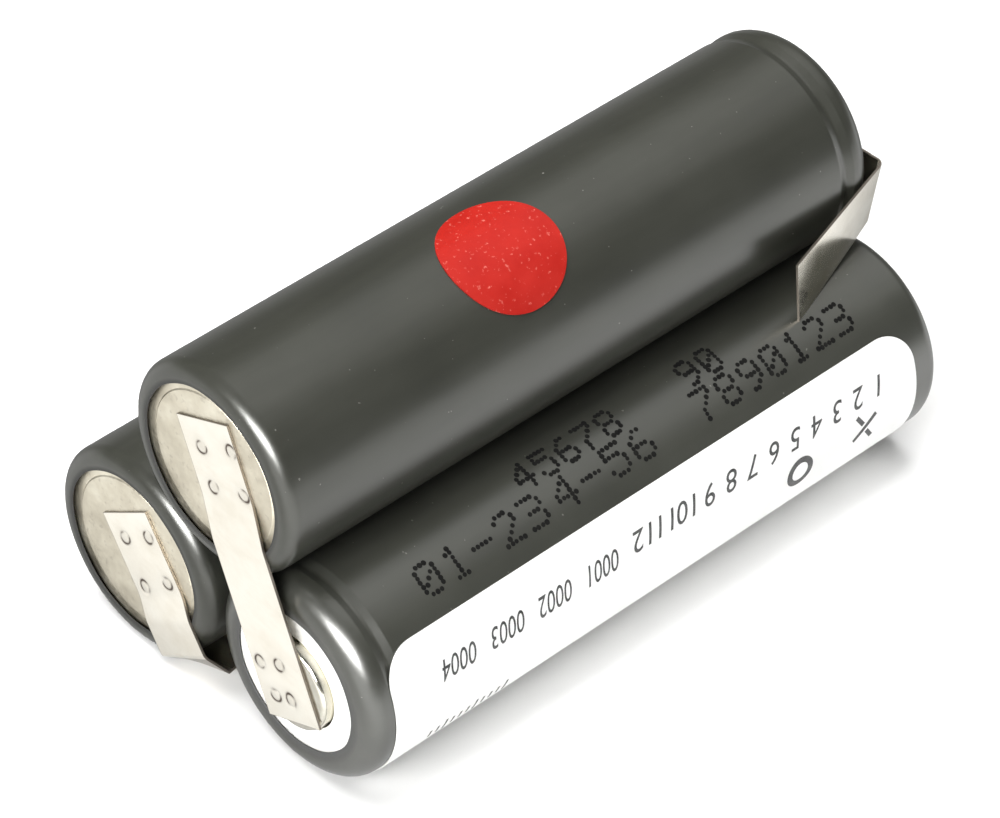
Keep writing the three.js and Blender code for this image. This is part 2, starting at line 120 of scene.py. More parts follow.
def rounded(corners, steps=5):
    """A turned profile from (depth, radius, fillet) corners, with each fillet as an arc."""
    points = []
    for index, (depth, radius, fillet) in enumerate(corners):
        here = Vector((depth, radius))
        if fillet == 0:
            points.append(here)
            continue
        before = Vector(corners[index - 1][:2]) - here
        after = Vector(corners[(index + 1) % len(corners)][:2]) - here
        before.normalize()
        after.normalize()
        half = before.angle(after) / 2
        reach = fillet / math.tan(half)
        centre = here + (before + after).normalized() * fillet / math.sin(half)
        start = here + before * reach - centre
        sweep = (here + after * reach - centre).angle_signed(start)
        for step in range(steps + 1):
            turn = sweep * step / steps
            cos, sin = math.cos(turn), math.sin(turn)
            points.append(centre + Vector((start.x * cos - start.y * sin, start.x * sin + start.y * cos)))
    return points


def turned(name, cell, corners, closed=True, steps=96, arc_steps=5):
    """Spins a profile round a cell's axis. An open profile starts and ends on the axis."""
    points = rounded(corners, arc_steps)
    vertices = [
        (cell["negative_x"] + cell["facing"] * p.x, cell["axis_y"], cell["axis_z"] + p.y) for p in points
    ]
    edges = [(i, i + 1) for i in range(len(points) - 1)]
    if closed:
        edges.append((len(points) - 1, 0))
    piece = new_piece(name, vertices, edges)
    select_only(piece)
    bpy.ops.object.mode_set(mode="EDIT")
    bpy.ops.mesh.select_all(action="SELECT")
    bpy.ops.mesh.spin(
        steps=steps,
        angle=2 * math.pi,
        center=(0, cell["axis_y"], cell["axis_z"]),
        axis=(1, 0, 0),
    )
    bpy.ops.mesh.select_all(action="SELECT")
    bpy.ops.mesh.remove_doubles(threshold=1e-6)
    bpy.ops.mesh.normals_make_consistent(inside=False)
    bpy.ops.object.mode_set(mode="OBJECT")
    bpy.ops.object.shade_smooth_by_angle(angle=math.radians(40))
    return piece


class Link:
    """A shader socket that can be added, multiplied and so on in plain expressions."""

    def __init__(self, finish, socket):
        self.finish = finish
        self.socket = socket

    def _math(self, operation, first, second):
        return self.finish.node("ShaderNodeMath", {"operation": operation}, {0: first, 1: second})

    def __add__(self, other):
        return self._math("ADD", self, other)

    __radd__ = __add__

    def __mul__(self, other):
        return self._math("MULTIPLY", self, other)

    __rmul__ = __mul__

    def __sub__(self, other):
        return self._math("SUBTRACT", self, other)

    def __rsub__(self, other):
        return self._math("SUBTRACT", other, self)


class Shading:
    """A node tree, with one method that makes any node in it."""

    def __init__(self, tree):
        self.tree = tree

    def feed(self, node, key, value):
        if isinstance(value, Link):
            self.tree.links.new(value.socket, node.inputs[key])
        else:
            node.inputs[key].default_value = value

    def node(self, kind, settings, inputs, output=0):
        node = self.tree.nodes.new(kind)
        for setting, value in settings.items():
            if setting == "stops":
                set_stops(node.color_ramp, value)
            else:
                setattr(node, setting, value)
        for key, value in inputs.items():
            self.feed(node, key, value)
        return Link(self, node.outputs[output])

    def ramp(self, factor, *stops):
        return self.node("ShaderNodeValToRGB", {"stops": stops}, {"Fac": factor})


class Finish(Shading):
    """A material of one surface, made round a Principled shader."""

    def __init__(self, name, **plain):
        self.material = bpy.data.materials.new(name)
        self.material.use_nodes = True
        super().__init__(self.material.node_tree)
        self.shader = self.tree.nodes["Principled BSDF"]
        self.place = self.node("ShaderNodeTexCoord", {}, {}, "Object")
        self.shade(**plain)

    def noise(self, scale, detail=3.0, roughness=0.5, stretch=None):
        place = self.place
        if stretch:
            place = self.node("ShaderNodeMapping", {}, {"Vector": place, "Scale": stretch})
        inputs = {"Vector": place, "Scale": scale, "Detail": detail, "Roughness": roughness}
        return self.node("ShaderNodeTexNoise", {}, inputs)

    def mix(self, factor, first, second):
        inputs = {0: factor, 6: first, 7: second}
        return self.node("ShaderNodeMix", {"data_type": "RGBA"}, inputs, 2)

    def bump(self, height, strength, distance):
        inputs = {"Height": height, "Strength": strength, "Distance": distance}
        return self.node("ShaderNodeBump", {}, inputs)

    def shade(self, **inputs):
        for socket, value in inputs.items():
            self.feed(self.shader, socket.replace("_", " "), value)

    def on(self, piece):
        piece.data.materials.clear()
        piece.data.materials.append(self.material)


def set_stops(color_ramp, stops):
    while len(color_ramp.elements) < len(stops):
        color_ramp.elements.new(0.5)
    for element, (position, value) in zip(color_ramp.elements, stops):
        element.position = position
        element.color = value if isinstance(value, tuple) else (value, value, value, 1)


# ---------------------------------------------------------------------------------------------
# Sleeves: dark grey PVC film, heat-shrunk on to each can. It follows the bead groove near the
# positive end, rolls over both shoulders, and its cut lips stand a little off the ends.
# ---------------------------------------------------------------------------------------------
sleeve_wall = 0.12 * mm
shoulder = 1.0 * mm
positive_shoulder = 1.4 * mm
negative_lip = 5.77 * mm
positive_lip = 5.0 * mm
groove_from_end = 2.3 * mm
groove_reach = 0.62 * mm
groove_depth = 0.22 * mm
lip_waver = 0.035 * mm

# Within this reach of each lip's edge the film is painted near-black: painted shade where the lip shades the
# end under it.
lip_shade_reach = 0.07 * mm


def shrink_film(name, painted_lift, gloss):
    """Film of one sleeve: the first factor scales its grey as painted light, and gloss how strongly it
    mirrors.
    """
    film = Finish(name, Metallic=0.2, Specular_IOR_Level=gloss)
    lip_shade = film.node("ShaderNodeAttribute", {"attribute_name": "cut_edge"}, {}, "Fac")
    cloud = film.noise(90, 3, 0.6)
    grain = film.noise(5200, 2, 0.6)
    streak = film.noise(700, 3, 0.6, (0.12, 1, 1))
    speck = film.ramp(film.noise(3000, 1, 0.4), (0.0, 0.0), (0.79, 0.0), (0.81, 1.0))
    scratch = film.ramp(film.noise(520, 4, 0.7, (0.06, 1.0, 1.0)), (0.0, 0.0), (0.70, 0.0), (0.74, 1.0))
    film_grey = film.ramp(
        cloud * 0.6 + streak * 0.4,
        (0.30, (0.030 * painted_lift, 0.031 * painted_lift, 0.025 * painted_lift, 1)),
        (0.52, (0.038 * painted_lift, 0.039 * painted_lift, 0.031 * painted_lift, 1)),
        (0.75, (0.048 * painted_lift, 0.049 * painted_lift, 0.040 * painted_lift, 1)),
    )
    film_worn = film.mix(scratch * 0.16, film_grey, (0.30, 0.30, 0.28, 1))
    dusty = film.mix(speck * 0.35, film_worn, (0.42, 0.41, 0.37, 1))
    # The lips' edges are mixed to near-black, which is painted shade, and made rougher.
    film.shade(
        Base_Color=film.mix(lip_shade * 0.9, dusty, (0.004, 0.004, 0.003, 1)),
        Roughness=film.ramp(grain * 0.5 + cloud * 0.5, (0.3, 0.28), (0.7, 0.36)) + lip_shade * 0.5,
        Normal=film.bump(grain * 0.6 + streak * 0.4, 0.10, 0.02 * mm),
    )
    return film


def waver_lip(piece, cell, lip_radius, end_x, seed):
    """The lip's cut edge wanders a little as it goes round."""
    phase = random.Random(seed).uniform(0, 2 * math.pi)
    for vertex in piece.data.vertices:
        place = Vector((vertex.co.y - cell["axis_y"], vertex.co.z - cell["axis_z"]))
        if abs(vertex.co.x - end_x) > 2 * sleeve_wall or place.length > lip_radius + 0.5 * mm:
            continue
        angle = math.atan2(place.y, place.x)
        nearness = 1 - (place.length - lip_radius) / (0.5 * mm)
        wave = math.sin(2 * angle + phase) + 0.6 * math.sin(5 * angle - phase)
        wave += 0.3 * math.sin(11 * angle)
        longer = place.normalized() * lip_waver * wave * min(nearness, 1)
        vertex.co.y += longer.x
        vertex.co.z += longer.y


def paint_lip_shade(piece, cell):
    """Paints shade on both lips: a near-black ring at each lip's edge, standing in for the shadow the lip
    casts.
    """
    edge = []
    for vertex in piece.data.vertices:
        from_axis = math.hypot(vertex.co.y - cell["axis_y"], vertex.co.z - cell["axis_z"])
        at_near_end = abs(vertex.co.x - cell["negative_x"]) < cell["length"] / 2
        lip = negative_lip if at_near_end else positive_lip
        edge.append(float(from_axis < lip + lip_shade_reach))
    attribute = piece.data.attributes.new("cut_edge", "FLOAT", "POINT")
    attribute.data.foreach_set("value", edge)


def sleeve_corners(cell):
    outer = cell["radius"]
    length = cell["length"]
    groove = length - groove_from_end
    groove_inner = outer - sleeve_wall
    soft = 0.45 * mm
    edge = sleeve_wall * 0.42
    return [
        (0, negative_lip, edge),
        (0, outer, shoulder),
        (groove - groove_reach, outer, soft),
        (groove, outer - groove_depth, soft),
        (groove + groove_reach, outer, soft),
        (length, outer, positive_shoulder),
        (length, positive_lip, edge),
        (length - sleeve_wall, positive_lip, edge),
        (length - sleeve_wall, groove_inner, positive_shoulder - sleeve_wall),
        (groove + groove_reach, groove_inner, soft),
        (groove, groove_inner - groove_depth, soft),
        (groove - groove_reach, groove_inner, soft),
        (sleeve_wall, groove_inner, shoulder - sleeve_wall),
        (sleeve_wall, negative_lip, edge),
    ]


for seed, (cell_name, cell) in enumerate(cells.items()):
    sleeve = turned(cell_name + "_shrink_sleeve", cell, sleeve_corners(cell), steps=128, arc_steps=8)
    positive_x = cell["negative_x"] + cell["facing"] * cell["length"]
    paint_lip_shade(sleeve, cell)
    waver_lip(sleeve, cell, negative_lip, cell["negative_x"], seed)
    waver_lip(sleeve, cell, positive_lip, positive_x, seed + 10)
    # The front sleeve's grey is raised 1.15 times as painted light, where the top cell shades it; it also
    # mirrors more strongly.
    painted_lift, gloss = (1.15, 1.0) if cell_name == "front" else (1.0, 0.55)
    shrink_film(cell_name + "_film", painted_lift, gloss).on(sleeve)
    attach(sleeve, "pack")
    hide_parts(cell_name + "_sleeve")

# ---------------------------------------------------------------------------------------------
# Cans: deep-drawn steel cups with a satin nickel plate. The flat bottom is the negative end, with
# a shallow raised rim; the wall has the bead groove and is crimped in over the gasket.
# ---------------------------------------------------------------------------------------------
can_wall = 0.3 * mm
panel_radius = 5.2 * mm
panel_step = 0.1 * mm
can_groove_depth = 0.75 * mm
crimp_opening = 5.4 * mm

plate = Finish("can_plate", Metallic=1.0)
blotch = plate.noise(420, 4, 0.6)
pits = plate.ramp(plate.noise(2600, 2, 0.5), (0.0, 0.0), (0.60, 0.0), (0.72, 1.0))
drawn = plate.noise(3800, 2, 0.5)
plate_tone = plate.ramp(
    blotch,
    (0.30, (0.46, 0.42, 0.33, 1)),
    (0.55, (0.56, 0.52, 0.42, 1)),
    (0.78, (0.64, 0.61, 0.51, 1)),
)
plate.shade(
    Base_Color=plate.mix(pits * 0.35, plate_tone, (0.30, 0.27, 0.22, 1)),
    Roughness=plate.ramp(blotch * 0.5 + drawn * 0.5, (0.3, 0.36), (0.7, 0.52)),
    Normal=plate.bump(drawn * 0.7 + pits * -0.5, 0.25, 0.02 * mm),
)

for cell_name, cell in cells.items():
    bottom, top = depth_in_cell(cell, cell_name + "_can")
    wall_low, wall_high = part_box(cell_name + "_can")
    can_radius = (wall_high[2] - wall_low[2]) / 2
    inside = can_radius - can_wall
    groove = cell["length"] - groove_from_end
    floor = bottom + panel_step + can_wall
    can = turned(cell_name + "_steel_can", cell, [
        (bottom, 0, 0),
        (bottom, panel_radius, 0.06 * mm),
        (bottom + panel_step, panel_radius + panel_step, 0.06 * mm),
        (bottom + panel_step, can_radius, shoulder),
        (groove - groove_reach, can_radius, 0.2 * mm),
        (groove, can_radius - can_groove_depth, 0.25 * mm),
        (groove + groove_reach, can_radius, 0.2 * mm),
        (top, can_radius, positive_shoulder - 0.2 * mm),
        (top, crimp_opening, can_wall * 0.45),
        (top - can_wall, crimp_opening, can_wall * 0.45),
        (top - can_wall, inside, 0.15 * mm),
        (groove + groove_reach, inside, 0.2 * mm),
        (groove, inside - can_groove_depth, 0.25 * mm),
        (groove - groove_reach, inside, 0.2 * mm),
        (floor, inside, shoulder - can_wall),
        (floor, 0, 0),
    ], closed=False)
    plate.on(can)
    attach(can, "pack")
    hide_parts(cell_name + "_can")

# ---------------------------------------------------------------------------------------------
# Insulating washers: punched rings of white fibre board, lying on the crimp under the sleeve's
# lip, so that nothing bridges the button and the can.
# ---------------------------------------------------------------------------------------------
fibre = Finish("washer_fibre", Specular_IOR_Level=0.35)
fibre_cloud = fibre.noise(900, 4, 0.65)
fibre.shade(
    Base_Color=fibre.ramp(fibre_cloud, (0.3, (0.83, 0.82, 0.79, 1)), (0.7, (0.91, 0.905, 0.88, 1))),
    Roughness=fibre.ramp(fibre_cloud, (0.3, 0.62), (0.7, 0.75)),
    Normal=fibre.bump(fibre.noise(3000, 3, 0.7), 0.2, 0.02 * mm),
)

for cell_name, cell in cells.items():
    under, over = depth_in_cell(cell, cell_name + "_insulating_washer")
    ring_low, ring_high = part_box(cell_name + "_insulating_washer")
    ring_outer = (ring_high[2] - ring_low[2]) / 2
    ring_inner = 3.39 * mm
    soft_edge = 0.05 * mm
    washer = turned(cell_name + "_fibre_washer", cell, [
        (under, ring_inner, soft_edge),
        (under, ring_outer, soft_edge),
        (over, ring_outer, soft_edge),
        (over, ring_inner, soft_edge),
    ], arc_steps=3)
    fibre.on(washer)
    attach(washer, "pack")
    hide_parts(cell_name + "_insulating_washer")

# ---------------------------------------------------------------------------------------------
# Positive caps: pressed nickel hats. The flange is held in the gasket, and the low button stands
# through the washer, with three round vent holes low in its wall.
# ---------------------------------------------------------------------------------------------
cap_wall = 0.25 * mm
button_radius = 3.35 * mm
button_draft = 0.12 * mm
vent_radius = 0.25 * mm
vent_count = 3

bright = Finish("cap_nickel", Metallic=1.0)
bright_cloud = bright.noise(650, 3, 0.6)
bright.shade(
    Base_Color=bright.ramp(bright_cloud, (0.3, (0.46, 0.44, 0.37, 1)), (0.7, (0.58, 0.56, 0.49, 1))),
    Roughness=bright.ramp(bright.noise(2400, 3, 0.6), (0.3, 0.14), (0.7, 0.26)),
    Normal=bright.bump(bright.noise(1600, 3, 0.6), 0.08, 0.02 * mm),
)

for cell_name, cell in cells.items():
    flange_bottom, button_top = depth_in_cell(cell, cell_name + "_positive_cap")
    flange_low, flange_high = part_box(cell_name + "_positive_cap")
    flange_radius = (flange_high[2] - flange_low[2]) / 2
    flange_top = flange_bottom + cap_wall
    cap = turned(cell_name + "_button_cap", cell, [
        (button_top - cap_wall, 0, 0),
        (button_top - cap_wall, button_radius - cap_wall - button_draft, 0.15 * mm),
        (flange_bottom, button_radius - cap_wall, 0.08 * mm),
        (flange_bottom, flange_radius, 0.08 * mm),
        (flange_top, flange_radius, 0.08 * mm),
        (flange_top, button_radius, 0.12 * mm),
        (button_top, button_radius - button_draft, 0.32 * mm),
        (button_top, 0, 0),
    ], closed=False)
    vent_depth = (flange_top + depth_in_cell(cell, cell_name + "_insulating_washer")[0]) / 2
    for index in range(vent_count):
        angle = math.pi / 2 + index * 2 * math.pi / vent_count
        outward = Vector((0, math.cos(angle), math.sin(angle)))
        centre = Vector((cell["negative_x"] + cell["facing"] * vent_depth, cell["axis_y"], cell["axis_z"]))
        bpy.ops.object.select_all(action="DESELECT")
        bpy.ops.mesh.primitive_cylinder_add(
            vertices=20,
            radius=vent_radius,
            depth=3 * cap_wall,
            location=centre + outward * (button_radius - cap_wall / 2),
            rotation=outward.to_track_quat("Z", "Y").to_euler(),
        )
        drill = bpy.context.object
        apply_modifier(cap, "BOOLEAN", object=drill, operation="DIFFERENCE", solver="EXACT")
        bpy.data.objects.remove(drill)
    bright.on(cap)
    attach(cap, "pack")
    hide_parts(cell_name + "_positive_cap")

# ---------------------------------------------------------------------------------------------
# Nickel strips: ribbon 5 mm wide and 0.15 mm thick, spot welded to the cell ends. Each strip is
# bent along its own route, and every weld leaves a small ring pressed and scorched into it.
# ---------------------------------------------------------------------------------------------
strip_width = 5.0 * mm
strip_thickness = 0.15 * mm
weld_radius = 0.44 * mm
weld_line = 0.09 * mm
weld_bowl = 0.12 * mm
weld_dent = 0.035 * mm
# The strip's outer rows and columns get painted shade of this strength, for the shadow and dark reflection
# along its edges.
edge_shade = 0.85
# Rows on the tab's fold get painted shade of this strength, for the shade under the fold.
fold_shade = 0.6
grid_pitch = 0.052 * mm

nickel = Finish("strip_nickel", Metallic=1.0)
scorch = nickel.node("ShaderNodeAttribute", {"attribute_name": "scorch"}, {}, 2)
rolled = nickel.noise(900, 4, 0.6, (1.0, 0.5, 1.0))
tarnish = nickel.noise(240, 3, 0.6)
nickel_tone = nickel.ramp(
    tarnish * 0.6 + rolled * 0.4,
    (0.32, (0.78, 0.73, 0.62, 1)),
    (0.50, (0.85, 0.81, 0.71, 1)),
    (0.70, (0.90, 0.87, 0.78, 1)),
)
# The attribute darkens the nickel with the weld scorch and also with painted shade along the edges and over
# the tab's fold.
nickel.shade(
    Base_Color=nickel.mix(scorch, nickel_tone, (0.075, 0.055, 0.042, 1)),
    Roughness=nickel.ramp(tarnish, (0.3, 0.12), (0.7, 0.22)) + scorch * 0.3,
    Normal=nickel.bump(rolled, 0.12, 0.02 * mm),
)


def smooth_route(corners, pitch, steps=8):
    """Points every pitch along a route of (along, height, bend radius) corners."""
    last = len(corners) - 1
    bends = rounded([
        (along, height, radius if 0 < index < last else 0)
        for index, (along, height, radius) in enumerate(corners)
    ], steps)
    route = [bends[0]]
    for start, finish in zip(bends, bends[1:]):
        count = max(1, round((finish - start).length / pitch))
        route += [start.lerp(finish, step / count) for step in range(1, count + 1)]
    return route


def ribbon(name, places, welds, shaded_rows=()):
    """A solid strip. places holds (centre, across, off) for each step along its route, and the rows listed in
    the last argument get painted shade.
    """
    columns = round(strip_width / grid_pitch)
    vertices = []
    marks = []
    for row, (centre, across, off) in enumerate(places):
        for column in range(columns + 1):
            side = strip_width * (column / columns - 0.5)
            point = centre + across * side
            dent = 0.0
            # Rows in the fold start with painted shade.
            mark = fold_shade if row in shaded_rows else 0.0
            for weld, opening in welds:
                away = point - weld
                distance = (away - off * away.dot(off)).length
                if distance > 3 * weld_radius or abs(away.dot(off)) > 1 * mm:
                    continue
                turn = math.atan2(away.dot(across), away.dot(across.cross(off)))
                radius = weld_radius * (1 + 0.07 * math.cos(2 * turn + opening))
                ring = math.exp(-((distance - radius) / weld_line) ** 2)
                bowl = math.exp(-((distance - radius) / weld_bowl) ** 2)
                broken = 0.55 + 0.45 * math.cos(turn - opening)
                broken += 0.30 * math.cos(3 * turn + 2 * opening)
                crown = math.exp(-(distance / (0.6 * weld_radius)) ** 2)
                dent -= weld_dent * bowl - 0.4 * weld_dent * crown
                stain = math.exp(-(distance / (1.5 * weld_radius)) ** 2)
                mark += 1.5 * ring * max(broken, 0.0) + 0.16 * stain
            vertices.append(point + off * dent)
            # The outermost rows and columns get painted shade along the strip's edges.
            at_edge = column in (0, columns) or row in (0, len(places) - 1)
            marks.append(min(max(mark, edge_shade * at_edge), 1.0))
    wide = columns + 1
    faces = [
        (r * wide + c, r * wide + c + 1, (r + 1) * wide + c + 1, (r + 1) * wide + c)
        for r in range(len(places) - 1)
        for c in range(columns)
    ]
    piece = new_piece(name, vertices, faces=faces)
    attribute = piece.data.attributes.new("scorch", "FLOAT", "POINT")
    attribute.data.foreach_set("value", marks)
    apply_modifier(piece, "SOLIDIFY", thickness=strip_thickness, offset=0.0)
    select_only(piece)
    bpy.ops.object.mode_set(mode="EDIT")
    bpy.ops.mesh.select_all(action="SELECT")
    bpy.ops.mesh.normals_make_consistent(inside=False)
    bpy.ops.object.mode_set(mode="OBJECT")
    bpy.ops.object.shade_smooth_by_angle(angle=math.radians(40))
    nickel.on(piece)
    return piece


def end_point(cell, y, z):
    """A place on a cell's end face, from its axis, in millimetres."""
    return Vector((0, cell["axis_y"] + y * mm, cell["axis_z"] + z * mm))


def welds_on(x, places):
    return [(Vector((x, place.y, place.z)), opening) for place, opening in places]


def in_end_plane(degrees):
    return Vector((0, math.cos(math.radians(degrees)), math.sin(math.radians(degrees))))


def straight_places(route, origin, along, off):
    across = along.cross(off)
    return [(origin + along * p.x + off * p.y, across, off) for p in route]


near = Vector((-1, 0, 0))
far = Vector((1, 0, 0))
middle_off = strip_thickness / 2
top_cell, front_cell, rear_cell = cells["top"], cells["front"], cells["rear"]
near_low, near_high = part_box("near_bridge_strip")
bridge_degrees = 243.8
bridge_offset = -0.71 * mm
bridge_start = -3.53 * mm
bridge_ramp_start = 1.8 * mm
bridge_ramp_end = 4.7 * mm
bridge_end = 16.87 * mm
bridge_along = in_end_plane(bridge_degrees)
bridge_across = bridge_along.cross(near)
bridge_origin = Vector((0, top_cell["axis_y"], top_cell["axis_z"])) + bridge_across * bridge_offset
bridge_plane = -near_low[0] - middle_off
bridge_pad = -near_high[0] + middle_off
near_bridge = ribbon(
    "near_bridge_ribbon",
    straight_places(
        smooth_route([
            (bridge_start, bridge_pad, 0),
            (bridge_ramp_start, bridge_pad, 6.0 * mm),
            (bridge_ramp_end, bridge_plane, 5.0 * mm),
            (bridge_end, bridge_plane, 0),
        ], grid_pitch),
        bridge_origin,
        bridge_along,
        near,
    ),
    welds_on(-bridge_pad, [
        (end_point(top_cell, 0.9, 1.26), 2.6),
        (end_point(top_cell, -1.68, 2.76), 0.5),
        (end_point(top_cell, -0.19, -1.2), 2.0),
        (end_point(top_cell, -2.86, 0.06), 3.6),
    ]) + welds_on(-bridge_plane, [
        (end_point(front_cell, 2.3, 0.27), 1.0),
        (end_point(front_cell, 0.6, 1.28), 2.2),
        (end_point(front_cell, 0.82, -1.5), 3.1),
        (end_point(front_cell, -0.53, -0.85), 0.2),
    ]),
)
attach(near_bridge, "pack")
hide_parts("near_bridge_strip")

far_low, far_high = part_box("far_bridge_strip")
far_plane = far_high[0] - middle_off
far_pad = far_low[0] + middle_off
far_ramp_start = 4.26 * mm
far_ramp_end = 5.17 * mm
far_bridge = ribbon(
    "far_bridge_ribbon",
    straight_places(
        smooth_route([
            (far_low[1], far_pad, 0),
            (front_cell["axis_y"] + far_ramp_start, far_pad, 1.2 * mm),
            (front_cell["axis_y"] + far_ramp_end, far_plane, 1.2 * mm),
            (far_high[1], far_plane, 0),
        ], grid_pitch),
        Vector((0, 0, front_cell["axis_z"])),
        Vector((0, 1, 0)),
        far,
    ),
    welds_on(far_pad, [(end_point(front_cell, y, z), y + z) for y in (-1.3, 1.3) for z in (-1.1, 1.1)])
    + welds_on(far_plane, [(end_point(rear_cell, y, z), y - z) for y in (-1.3, 1.3) for z in (-1.1, 1.1)]),
)
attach(far_bridge, "pack")
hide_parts("far_bridge_strip")

# ---------------------------------------------------------------------------------------------
# Solder tabs: the same ribbon, welded to the rear can and to the top button and bent where it
# leaves the cell. Each tab is one strip, bent at its fold between the pack and its leaf.
# ---------------------------------------------------------------------------------------------
joints = {joint["name"]: joint for joint in frame["joints"]}


def fold_of(joint_name):
    joint = joints[joint_name]
    return Vector(joint["pos_m"]), Vector(joint["axis"]).normalized()


fold, fold_axis = fold_of("negative_tab_bend")
tab_start = -2.85 * mm
tab_ramp_start = 2.9 * mm
tab_ramp_end = 4.5 * mm
fold_reach = 7.0 * mm
leaf_reach = 7.37 * mm
tab_along = near.cross(fold_axis)
tab_origin = fold - tab_along * fold_reach
tab_origin.x = 0
pad_low, pad_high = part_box("negative_tab_pad")
leaf_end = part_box("negative_tab_leaf")[1][0]
tab_pad = -pad_high[0] + middle_off
fold_turn = 1.15 * mm
leaf_sag = 1.3 * mm
tab_route = smooth_route([
    (tab_start, tab_pad, 0),
    (tab_ramp_start, tab_pad, 4.0 * mm),
    (tab_ramp_end, -fold.x, 3.0 * mm),
    (fold_reach, -fold.x, 0.25 * mm),
    (leaf_reach, -fold.x - fold_turn, 0.5 * mm),
    (leaf_reach, -leaf_end, 0),
], grid_pitch)
tab_places = []
shaded_rows = set()
for index, point in enumerate(tab_route):
    ahead = tab_route[min(index + 1, len(tab_route) - 1)]
    behind = tab_route[max(index - 1, 0)]
    course = (ahead - behind).normalized()
    off = near * course.x - tab_along * course.y
    past_fold = -fold.x - point.y if point.x > fold_reach - 0.05 * mm else 0.0
    rest_of_leaf = (leaf_end - fold.x - past_fold) / (leaf_end - fold.x - fold_turn)
    sag = leaf_sag * max(0.0, min(past_fold / fold_turn, rest_of_leaf))
    # Rows round the fold's second turn get painted shade.
    if 0.1 * mm < past_fold < fold_turn + 0.3 * mm:
        shaded_rows.add(index)
    centre = tab_origin + tab_along * (point.x + sag / 2) + near * point.y
    across = (tab_along.cross(near) - tab_along * (sag / strip_width)).normalized()
    tab_places.append((centre, across, off))
negative_tab = ribbon("negative_tab_ribbon", tab_places, welds_on(-tab_pad, [
    (end_point(rear_cell, 0.86, 0.72), 2.8),
    (end_point(rear_cell, -1.33, 2.4), 2.2),
    (end_point(rear_cell, -1.0, -2.11), 0.4),
    (end_point(rear_cell, -3.1, -0.22), 3.4),
]), shaded_rows)
fold_course = (tab_along + far).normalized()
tuple(fold - fold_course * 0.25 * mm)
tuple(fold + fold_course * 0.25 * mm)
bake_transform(negative_tab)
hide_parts("negative_tab_pad", "negative_tab_leaf")

fold, fold_axis = fold_of("positive_tab_bend")
fold_angle = math.radians(joints["positive_tab_bend"]["range_deg"][1])
pad_degrees = 186
pad_drop = 1.15 * mm
pad_overhang = 2.4 * mm
pad_bend = 5.4 * mm
pad_along = in_end_plane(pad_degrees)
pad_across = pad_along.cross(far)
pad_low, pad_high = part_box("positive_tab_pad")
pad_x = pad_low[0] + middle_off
pad_centre = Vector((fold.x, top_cell["axis_y"], top_cell["axis_z"] - pad_drop))
pad_start = pad_centre - pad_along * pad_overhang
pad_length = 9.0 * mm
leaf_length = 10.2 * mm
leaf_droop = 1.07 * mm
leaf_end_across = Vector((-0.121, 0.036, 0.992))
pad_route = smooth_route([
    (0, pad_x - fold.x, 0),
    (pad_bend, pad_x - fold.x, 2.0 * mm),
    (pad_length, 0, 0.5 * mm),
    (pad_length + leaf_length * math.cos(fold_angle), -leaf_length * math.sin(fold_angle), 0),
], grid_pitch)
leaf_places = []
for index, point in enumerate(pad_route):
    ahead = pad_route[min(index + 1, len(pad_route) - 1)]
    behind = pad_route[max(index - 1, 0)]
    course = (ahead - behind).normalized()
    off = far * course.x - pad_along * course.y
    on_leaf = point.x > pad_length - mm
    leaf_done = max(0.0, -point.y / (leaf_length * math.sin(fold_angle))) if on_leaf else 0.0
    centre = pad_start + pad_along * point.x + far * point.y - Vector((0, 0, leaf_droop * leaf_done))
    leaf_places.append((centre, pad_across.lerp(leaf_end_across, leaf_done).normalized(), off))
positive_tab = ribbon("positive_tab_ribbon", leaf_places, welds_on(pad_x, [
    (end_point(top_cell, y, z), y * z) for y in (-1.2, 1.0) for z in (-2.1, 0.1)
]))
fold_course = (pad_along - far * math.sin(fold_angle) + pad_along * math.cos(fold_angle)).normalized()
tuple(fold - fold_course * 0.3 * mm)
tuple(fold + fold_course * 0.3 * mm)
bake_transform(positive_tab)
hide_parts("positive_tab_pad", "positive_tab_leaf")

# ---------------------------------------------------------------------------------------------
# Stickers: paper pressed on to the sleeves. The red spot marks the top cell, and the white date
# label wraps a third of the way round the front cell. Both are cut flat and then wrapped.
# ---------------------------------------------------------------------------------------------
sticker_gap = 0.015 * mm
sticker_thickness = 0.08 * mm


def wrap(piece, cell, x, degrees, radius, turned_round=False):
    """Bends a flat piece round a cell: its X runs along the cell and its Y climbs round it."""
    side = -1 if turned_round else 1
    for vertex in piece.data.vertices:
        angle = math.radians(degrees) - side * vertex.co.y / radius
        out = radius + vertex.co.z
        vertex.co = (
            x + side * vertex.co.x,
            cell["axis_y"] + out * math.cos(angle),
            cell["axis_z"] + out * math.sin(angle),
        )


def flat_sheet(name, width, height, corner, pitch):
    """A flat rounded sheet, cut into squares fine enough to bend, with a soft cut edge."""
    bpy.ops.object.select_all(action="DESELECT")
    bpy.ops.mesh.primitive_grid_add(
        x_subdivisions=max(2, round(width / pitch)),
        y_subdivisions=max(2, round(height / pitch)),
        size=1,
    )
    sheet = bpy.context.object
    sheet.name = name
    half = Vector((width / 2, height / 2))
    for vertex in sheet.data.vertices:
        place = Vector((vertex.co.x * width, vertex.co.y * height))
        inner = Vector((
            max(-half.x + corner, min(half.x - corner, place.x)),
            max(-half.y + corner, min(half.y - corner, place.y)),
        ))
        outside = place - inner
        square = max(abs(outside.x), abs(outside.y))
        if outside.length > 1e-9:
            place = inner + outside.normalized() * square
        vertex.co = (place.x, place.y, 0)
    apply_modifier(sheet, "SOLIDIFY", thickness=sticker_thickness, offset=1.0)
    return sheet


